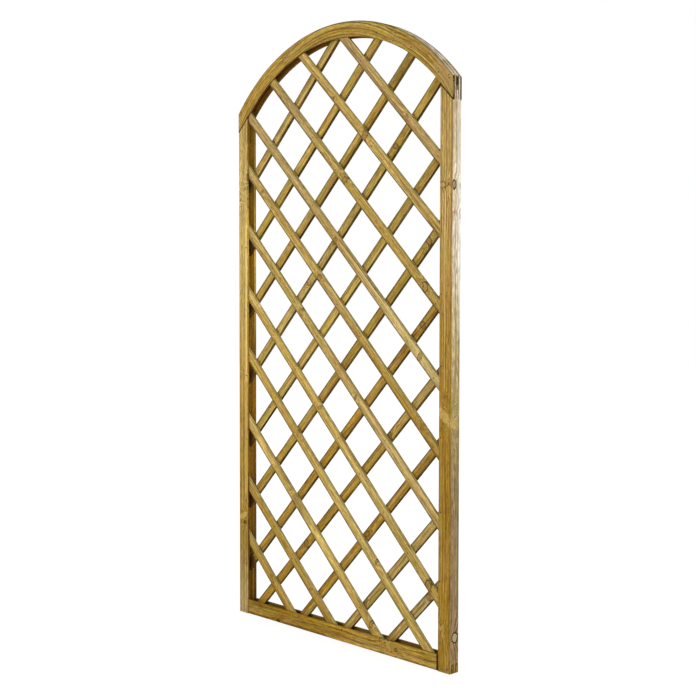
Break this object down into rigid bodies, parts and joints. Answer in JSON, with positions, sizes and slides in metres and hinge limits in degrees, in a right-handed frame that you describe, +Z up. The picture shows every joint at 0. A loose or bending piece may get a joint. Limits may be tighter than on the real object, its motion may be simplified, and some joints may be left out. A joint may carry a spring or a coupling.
{
  "type": "trellis fence panel",
  "caption": "Bow-topped softwood trellis panel: a grooved frame with a round head holds two layers of crossed diagonal laths, for fencing and for climbing plants.",
  "frame": {"origin": "middle of the foot: the middle of the panel's width and depth, on the underside of the foot rail", "axes": "+X across the panel to the right as seen from its front, +Y towards its back, +Z up"},
  "size_m": [0.9, 0.036, 1.8],
  "materials": {
    "stile_timber": "planed treated softwood, matt",
    "rail_timber": "planed treated softwood, matt",
    "arch_timber": "planed treated softwood, matt",
    "front_lath_timber": "planed treated softwood, matt",
    "rear_lath_timber": "planed treated softwood, matt",
    "nail_steel": "dulled wire nails"
  },
  "bodies": {
    "root": {"stile_left": "stile_timber", "stile_right": "stile_timber", "foot_rail": "rail_timber", "arch_left": "arch_timber", "arch_crown": "arch_timber", "arch_right": "arch_timber", "front_lath_01": "front_lath_timber", "front_lath_02": "front_lath_timber", "front_lath_03": "front_lath_timber", "front_lath_04": "front_lath_timber", "front_lath_05": "front_lath_timber", "front_lath_06": "front_lath_timber", "front_lath_07": "front_lath_timber", "front_lath_08": "front_lath_timber", "front_lath_09": "front_lath_timber", "front_lath_10": "front_lath_timber", "front_lath_11": "front_lath_timber", "rear_lath_01": "rear_lath_timber", "rear_lath_02": "rear_lath_timber", "rear_lath_03": "rear_lath_timber", "rear_lath_04": "rear_lath_timber", "rear_lath_05": "rear_lath_timber", "rear_lath_06": "rear_lath_timber", "rear_lath_07": "rear_lath_timber", "rear_lath_08": "rear_lath_timber", "rear_lath_09": "rear_lath_timber", "rear_lath_10": "rear_lath_timber", "rear_lath_11": "rear_lath_timber", "nail_top_left_upper": "nail_steel", "nail_top_left_lower": "nail_steel", "nail_top_right_upper": "nail_steel", "nail_top_right_lower": "nail_steel", "nail_foot_left_outer": "nail_steel", "nail_foot_left_inner": "nail_steel", "nail_foot_right_outer": "nail_steel", "nail_foot_right_inner": "nail_steel"}
  },
  "joints": []
}
